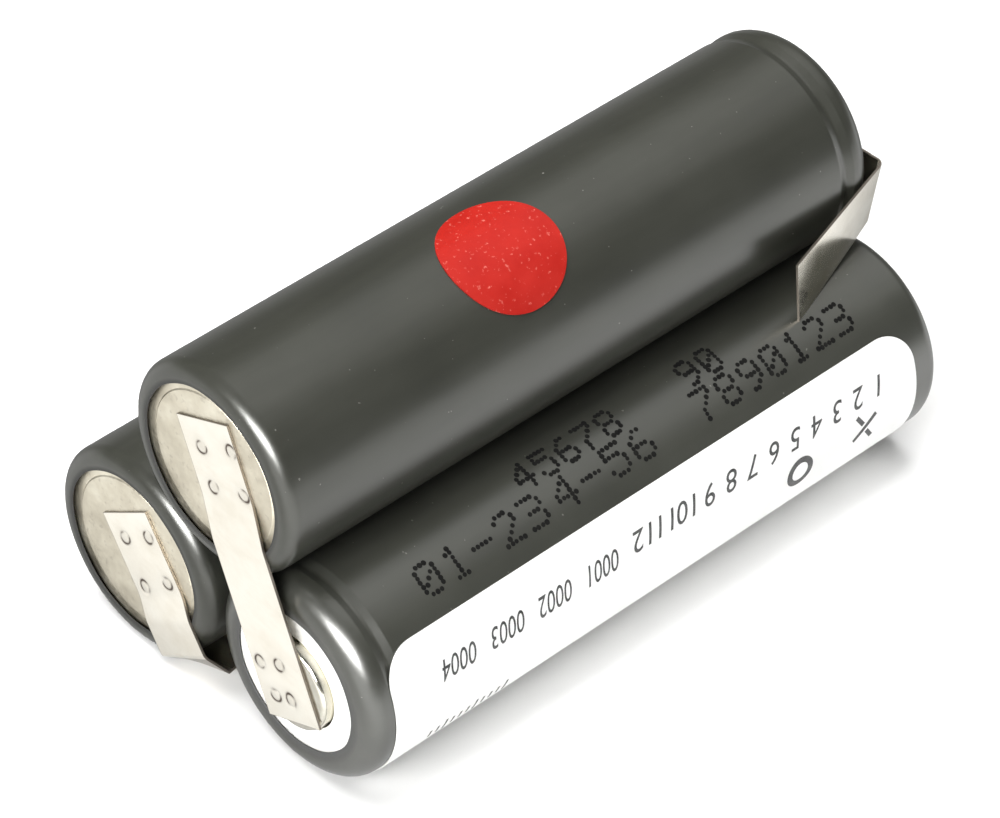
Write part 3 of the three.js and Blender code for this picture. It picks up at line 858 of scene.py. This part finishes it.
paint = Finish("dot_red", Specular_IOR_Level=0.2)
paint_cloud = paint.noise(500, 4, 0.65)
fleck = paint.ramp(paint.noise(3400, 3, 0.6), (0.0, 0.0), (0.62, 0.0), (0.72, 1.0))
paint_red = paint.ramp(paint_cloud, (0.3, (0.335, 0.008, 0.004, 1)), (0.7, (0.39, 0.012, 0.006, 1)))
paint.shade(
    Base_Color=paint.mix(fleck * 0.4, paint_red, (0.85, 0.30, 0.24, 1)),
    Roughness=paint.ramp(paint_cloud, (0.3, 0.42), (0.7, 0.58)),
    Normal=paint.bump(paint.noise(2600, 3, 0.7), 0.2, 0.02 * mm),
)

dot_low, dot_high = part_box("red_dot_sticker")
dot_size = dot_high[0] - dot_low[0]
red_dot = flat_sheet("red_spot", dot_size, dot_size, dot_size / 2 - 1e-5, 0.16 * mm)
wrap(red_dot, top_cell, (dot_low[0] + dot_high[0]) / 2, 108.5, top_cell["radius"] + sticker_gap)
select_only(red_dot)
bpy.ops.object.shade_smooth_by_angle(angle=math.radians(40))
paint.on(red_dot)
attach(red_dot, "pack")
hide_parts("red_dot_sticker")

paper = Finish("label_paper", Specular_IOR_Level=0.4)
paper_cloud = paper.noise(260, 4, 0.6)
paper.shade(
    Base_Color=paper.ramp(paper_cloud, (0.3, (0.86, 0.86, 0.85, 1)), (0.7, (0.92, 0.92, 0.91, 1))),
    Roughness=paper.ramp(paper_cloud, (0.3, 0.42), (0.7, 0.54)),
    Normal=paper.bump(paper.noise(2200, 3, 0.7), 0.1, 0.02 * mm),
)

label_low, label_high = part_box("date_label")
label_x = (label_low[0] + label_high[0]) / 2
label_from, label_to = 137, 249
label_round = math.radians(label_to - label_from) * front_cell["radius"]
date_label = flat_sheet("date_label_paper", label_high[0] - label_low[0], label_round, 2.5 * mm, 0.3 * mm)
wrap(date_label, front_cell, label_x, (label_from + label_to) / 2, front_cell["radius"] + sticker_gap)
select_only(date_label)
bpy.ops.object.shade_smooth_by_angle(angle=math.radians(40))
paper.on(date_label)
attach(date_label, "pack")
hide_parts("date_label")

# ---------------------------------------------------------------------------------------------
# Label print: a thin layer of black ink. Twelve month numbers and four year counters stand upside
# down from the front, with a plain ring, a plain cross and a row of ticks below them.
# ---------------------------------------------------------------------------------------------
ink_thickness = 0.012 * mm
ink_round = front_cell["radius"] + sticker_gap + sticker_thickness

ink = Finish("label_ink", Specular_IOR_Level=0.4)
ink_cloud = ink.noise(2200, 3, 0.7)
ink.shade(
    Base_Color=ink.ramp(ink_cloud, (0.35, (0.012, 0.012, 0.012, 1)), (0.75, (0.10, 0.10, 0.098, 1))),
    Roughness=ink.ramp(ink_cloud, (0.3, 0.35), (0.7, 0.55)),
)


def slice_round(piece, pitch):
    """Cuts a flat piece into narrow bands, so that it bends without corners sinking in."""
    mesh = bmesh.new()
    mesh.from_mesh(piece.data)
    top_y = max(v.co.y for v in mesh.verts)
    level = min(v.co.y for v in mesh.verts) + pitch
    while level < top_y:
        everything = mesh.verts[:] + mesh.edges[:] + mesh.faces[:]
        bmesh.ops.bisect_plane(mesh, geom=everything, plane_co=(0, level, 0), plane_no=(0, 1, 0), dist=1e-8)
        level += pitch
    bmesh.ops.triangulate(mesh, faces=mesh.faces[:])
    bmesh.ops.remove_doubles(mesh, verts=mesh.verts[:], dist=1e-7)
    mesh.to_mesh(piece.data)
    mesh.free()


def print_on_label(piece, x, degrees):
    slice_round(piece, 0.25 * mm)
    apply_modifier(piece, "SOLIDIFY", thickness=ink_thickness, offset=1.0)
    wrap(piece, front_cell, x, degrees, ink_round + 0.002 * mm, turned_round=True)
    ink.on(piece)
    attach(piece, "pack")


def numeral(name, text, height, squeeze=1.0):
    bpy.ops.object.select_all(action="DESELECT")
    bpy.ops.object.text_add()
    letters = bpy.context.object
    letters.data.body = text
    letters.data.size = height / 0.7
    letters.data.shear = 0.25
    letters.data.align_x = "CENTER"
    letters.data.align_y = "CENTER"
    letters.data.resolution_u = 4
    bpy.ops.object.convert(target="MESH")
    letters = bpy.context.object
    letters.name = name
    letters.data.transform(Matrix.Diagonal((squeeze, 1, 1, 1)))
    return letters


month_pitch = 1.9 * mm
month_first = 19.0 * mm
month_degrees = 158.5
print_height = 1.45 * mm
for month in range(12):
    mark = numeral(f"month_{month + 1}", str(month + 1), print_height)
    print_on_label(mark, month_first - month * month_pitch, month_degrees)

year_pitch = 3.95 * mm
year_first = -5.6 * mm
year_degrees = 160.5
year_squeeze = 0.68
for year in range(4):
    mark = numeral(f"counter_{year + 1}", f"000{year + 1}", print_height, year_squeeze)
    print_on_label(mark, year_first - year * year_pitch, year_degrees)


def flat_bar(width, height, x, y, turn):
    bpy.ops.object.select_all(action="DESELECT")
    bpy.ops.mesh.primitive_plane_add(size=1)
    bar = bpy.context.object
    turned_bar = Matrix.Rotation(turn, 4, "Z") @ Matrix.Diagonal((width, height, 1, 1))
    bar.data.transform(Matrix.Translation((x, y, 0)) @ turned_bar)
    return bar


def joined(name, parts):
    bpy.ops.object.select_all(action="DESELECT")
    for part in parts:
        part.select_set(True)
    bpy.context.view_layer.objects.active = parts[0]
    bpy.ops.object.join()
    whole = bpy.context.object
    whole.name = name
    return whole


bar_width = 0.32 * mm
cross_turn = math.radians(35)
cross = joined("plain_cross", [
    flat_bar(2.4 * mm, bar_width, 0, 0, cross_turn),
    flat_bar(bar_width, 1.0 * mm, 0.46 * mm, -0.75 * mm, cross_turn),
    flat_bar(bar_width, 1.0 * mm, -0.46 * mm, 0.75 * mm, cross_turn),
])
print_on_label(cross, 17.4 * mm, 179)

bpy.ops.object.select_all(action="DESELECT")
bpy.ops.mesh.primitive_circle_add(vertices=40, radius=1.15 * mm, fill_type="NGON")
ring = bpy.context.object
ring.name = "plain_ring"
bpy.ops.object.mode_set(mode="EDIT")
bpy.ops.mesh.select_all(action="SELECT")
bpy.ops.mesh.inset(thickness=0.45 * mm)
bpy.ops.mesh.delete(type="FACE")
bpy.ops.object.mode_set(mode="OBJECT")
print_on_label(ring, 11.5 * mm, 180.5)

tick_width = 0.16 * mm
tick_pitch = 0.62 * mm
ticks = joined("tick_row", [
    flat_bar(tick_width, (1.3 if index % 4 == 0 else 0.8) * mm, index * tick_pitch, 0, 0)
    for index in range(11)
])
print_on_label(ticks, -13.4 * mm, 202)

# ---------------------------------------------------------------------------------------------
# Ink-jet print on the front sleeve: dots of black ink in a five by seven matrix. Only counting
# numerals are printed, in two rows above the label.
# ---------------------------------------------------------------------------------------------
matrix_digits = {
    "0": "01110 10001 10011 10101 11001 10001 01110",
    "1": "00100 01100 00100 00100 00100 00100 01110",
    "2": "01110 10001 00001 00010 00100 01000 11111",
    "3": "11110 00001 00001 01110 00001 00001 11110",
    "4": "00010 00110 01010 10010 11111 00010 00010",
    "5": "11111 10000 11110 00001 00001 10001 01110",
    "6": "00110 01000 10000 11110 10001 10001 01110",
    "7": "11111 00001 00010 00100 01000 01000 01000",
    "8": "01110 10001 10001 01110 10001 10001 01110",
    "9": "01110 10001 10001 01111 00001 00010 01100",
    "-": "00000 00000 00000 11111 00000 00000 00000",
}
dot_radius = 0.17 * mm
dot_height = 0.012 * mm
jitter = random.Random(7)


def jet_row(dots, text, x, degrees, pitch, height):
    """Adds one row's dots: text runs along the cell and stands up towards the top."""
    row_step = height / 6
    column_step = pitch / 6.3
    for place, letter in enumerate(text):
        for row, line in enumerate(matrix_digits[letter].split()):
            for column, lit in enumerate(line):
                if lit == "1":
                    along = x + place * pitch + column * column_step + jitter.gauss(0, 0.015 * mm)
                    down = row * row_step + jitter.gauss(0, 0.012 * mm)
                    dots.append((along, degrees + math.degrees(down / front_cell["radius"])))


lower_row, lower_height = 110.5, 1.9 * mm
upper_row, upper_height = 93.0, 1.75 * mm
dots = []
jet_row(dots, "01-23", -17.7 * mm, lower_row, 2.15 * mm, lower_height)
jet_row(dots, "4-56", -6.5 * mm, lower_row, 2.15 * mm, lower_height)
jet_row(dots, "7890123", 5.6 * mm, lower_row, 2.0 * mm, lower_height)
jet_row(dots, "45678", -7.9 * mm, upper_row, 1.78 * mm, upper_height)
jet_row(dots, "90", 6.2 * mm, upper_row, 1.78 * mm, upper_height)

bpy.ops.object.select_all(action="DESELECT")
bpy.ops.mesh.primitive_cylinder_add(vertices=10, radius=dot_radius, depth=dot_height)
one_dot = bpy.context.object
dot_surface = front_cell["radius"] + 0.004 * mm + dot_height / 2
print_mesh = bmesh.new()
for along, degrees in dots:
    copy = one_dot.data.copy()
    out = in_end_plane(degrees)
    size = jitter.uniform(0.85, 1.12)
    turn = out.to_track_quat("Z", "X").to_matrix().to_4x4() @ Matrix.Diagonal((size, size * 0.95, 1, 1))
    centre = Vector((along, front_cell["axis_y"], front_cell["axis_z"])) + out * dot_surface
    copy.transform(Matrix.Translation(centre) @ turn)
    print_mesh.from_mesh(copy)
    bpy.data.meshes.remove(copy)
bpy.data.objects.remove(one_dot)
jet_mesh = bpy.data.meshes.new("ink_jet_print")
print_mesh.to_mesh(jet_mesh)
print_mesh.free()
jet_print = bpy.data.objects.new("ink_jet_print", jet_mesh)
bpy.context.scene.collection.objects.link(jet_print)
jet_ink = Finish("jet_ink", Roughness=0.75, Specular_IOR_Level=0.08)
jet_cloud = jet_ink.noise(1800, 2, 0.6)
jet_ink.shade(
    Base_Color=jet_ink.ramp(jet_cloud, (0.3, (0.003, 0.003, 0.003, 1)), (0.7, (0.009, 0.009, 0.008, 1))),
)
jet_ink.on(jet_print)
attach(jet_print, "pack")

# ---------------------------------------------------------------------------------------------
# Inside the cells: lid, vent valve, gasket, insulators, collector tab and the rolled electrodes
# stay as the frame made them, each in the finish of its own stuff.
# ---------------------------------------------------------------------------------------------


def plain_stuff(name, dark, light, scale, rough, metallic=0.0, grain_scale=2500, bump=0.3):
    stuff = Finish(name, Metallic=metallic)
    tone = stuff.noise(scale, 4, 0.6)
    stuff.shade(
        Base_Color=stuff.ramp(tone, (0.3, (*dark, 1)), (0.7, (*light, 1))),
        Roughness=stuff.ramp(tone, (0.3, rough - 0.07), (0.7, rough + 0.07)),
        Normal=stuff.bump(stuff.noise(grain_scale, 3, 0.7), bump, 0.02 * mm),
    )
    return stuff


inner_finishes = {
    "sealing_lid": plain_stuff("lid_steel", (0.46, 0.45, 0.42), (0.60, 0.59, 0.56), 700, 0.36, 1.0),
    "vent_valve": plain_stuff("valve_rubber", (0.018, 0.018, 0.02), (0.04, 0.04, 0.042), 900, 0.8),
    "sealing_gasket": plain_stuff("gasket_nylon", (0.64, 0.60, 0.48), (0.76, 0.73, 0.62), 500, 0.45),
    "upper_insulator": plain_stuff("insulator_card", (0.60, 0.54, 0.38), (0.74, 0.68, 0.52), 900, 0.85),
    "collector_tab": plain_stuff("collector_nickel", (0.58, 0.56, 0.50), (0.72, 0.70, 0.65), 900, 0.32, 1.0),
    "inner_separator": plain_stuff("separator_felt", (0.80, 0.79, 0.75), (0.92, 0.91, 0.88), 2200, 0.9),
    "positive_electrode": plain_stuff("positive_foam", (0.035, 0.042, 0.038), (0.11, 0.12, 0.11), 1800, 0.85),
    "negative_electrode": plain_stuff(
        "negative_alloy", (0.09, 0.085, 0.08), (0.19, 0.18, 0.17), 1600, 0.75, 0.4
    ),
}
inner_finishes["lower_insulator"] = inner_finishes["upper_insulator"]
inner_finishes["outer_separator"] = inner_finishes["inner_separator"]
for cell_name in cells:
    for part_name, stuff in inner_finishes.items():
        stuff.on(frame["nodes"][f"{cell_name}_{part_name}"])

glue = plain_stuff("hot_melt_glue", (0.62, 0.59, 0.48), (0.78, 0.75, 0.65), 400, 0.35)
glue.on(frame["nodes"]["adhesive_core"])

# ---------------------------------------------------------------------------------------------
# Studio: the camera, a white floor and white surroundings, two broad lamps that light the object
# and one that only shows as a reflection. The floor is brighter in reflections near the cells.
# ---------------------------------------------------------------------------------------------
camera_place = Vector((-152.45, -147.19, 209.46)) * mm
camera_azimuth = math.radians(-45.788)
camera_elevation = math.radians(43.389)
camera_roll = math.radians(3.692)
camera_lens = 166.78

back = Vector((
    math.sin(camera_azimuth) * math.cos(camera_elevation),
    -math.cos(camera_azimuth) * math.cos(camera_elevation),
    math.sin(camera_elevation),
))
level = Vector((math.cos(camera_azimuth), math.sin(camera_azimuth), 0))
upright = back.cross(level)
right = level * math.cos(camera_roll) + upright * math.sin(camera_roll)
up = upright * math.cos(camera_roll) - level * math.sin(camera_roll)
camera_data = bpy.data.cameras.new("camera")
camera_data.lens = camera_lens
camera_data.sensor_width = 36
camera_data.clip_start = 0.01
camera = bpy.data.objects.new("camera", camera_data)
bpy.context.scene.collection.objects.link(camera)
camera.matrix_world = Matrix.Translation(camera_place) @ Matrix((right, up, back)).transposed().to_4x4()
bpy.context.scene.camera = camera

bpy.ops.object.select_all(action="DESELECT")
bpy.ops.mesh.primitive_plane_add(size=3, location=(0, 0, cad_box[0][2] - 0.00002))
studio_floor = bpy.context.object
studio_floor.name = "studio_floor"
floor_tone = (0.9, 0.9, 0.893, 1)
floor_finish = Finish("floor_white", Base_Color=floor_tone, Roughness=0.8, Specular_IOR_Level=0.0)
mirrored_ray = floor_finish.node("ShaderNodeLightPath", {}, {}, "Is Glossy Ray")
floor_x = floor_finish.node("ShaderNodeSeparateXYZ", {}, {"Vector": floor_finish.place}, "X")
floor_y = floor_finish.node("ShaderNodeSeparateXYZ", {}, {"Vector": floor_finish.place}, "Y")
# In reflections the floor glows instead of being lit: painted reflected light, strongest beside the front and
# near sides of the cells.
front_side = floor_finish.ramp(floor_y * 10 + 0.5, (0.0, 1.0), (0.20, 1.0), (0.44, 0.0))
near_side = floor_finish.ramp(floor_x * 10 + 0.5, (0.0, 1.0), (0.20, 1.0), (0.28, 0.0))
glow = front_side * 1.9 + near_side * 0.75 + 0.45
mirrored = floor_finish.node("ShaderNodeEmission", {}, {"Color": glow})
lit = Link(floor_finish, floor_finish.shader.outputs["BSDF"])
floor_mix = floor_finish.node("ShaderNodeMixShader", {}, {0: mirrored_ray, 1: lit, 2: mirrored})
floor_finish.feed(floor_finish.tree.nodes["Material Output"], "Surface", floor_mix)
floor_finish.on(studio_floor)

world = bpy.data.worlds.new("studio")
bpy.context.scene.world = world
world.use_nodes = True
sky = Shading(world.node_tree)
seen_in_gloss = sky.node("ShaderNodeLightPath", {}, {}, "Is Glossy Ray")
looking = sky.node("ShaderNodeNewGeometry", {}, {}, "Incoming")
softbox = sky.node(
    "ShaderNodeVectorMath", {"operation": "DOT_PRODUCT"}, {0: looking, 1: (-0.52, -0.1, -0.85)}, 1
)
reflected_sky = sky.ramp(softbox, (0.0, 0.0), (0.80, 0.0), (0.97, 1.0)) * 1.1 + 0.14
lighting_sky = 0.34
sky_tone = seen_in_gloss * reflected_sky + (1 - seen_in_gloss) * lighting_sky
sky.feed(sky.tree.nodes["Background"], "Color", sky_tone)


def soft_lamp(name, place, aim, size, power, glossy=False, diffuse=False):
    lamp_data = bpy.data.lights.new(name, "AREA")
    lamp_data.shape = "RECTANGLE"
    lamp_data.size = size[0]
    lamp_data.size_y = size[1]
    lamp_data.energy = power
    lamp = bpy.data.objects.new(name, lamp_data)
    lamp.visible_glossy = glossy
    lamp.visible_diffuse = diffuse
    bpy.context.scene.collection.objects.link(lamp)
    direction = Vector(aim) - Vector(place)
    aimed = direction.to_track_quat("-Z", "Y").to_matrix().to_4x4()
    lamp.matrix_world = Matrix.Translation(place) @ aimed


soft_lamp("near_lamp", (-0.42, -0.10, 0.34), (0, 0, 0.01), (0.24, 0.16), 2.4, diffuse=True)
soft_lamp("overhead_lamp", (-0.02, 0.12, 0.52), (0, 0, 0.01), (0.50, 0.40), 3.9, diffuse=True)
soft_lamp("streak_lamp", (-0.375, -0.18, 0.275), (0, 0, 0.01), (0.34, 0.18), 12.5, glossy=True)

bpy.context.scene.view_settings.view_transform = "Standard"
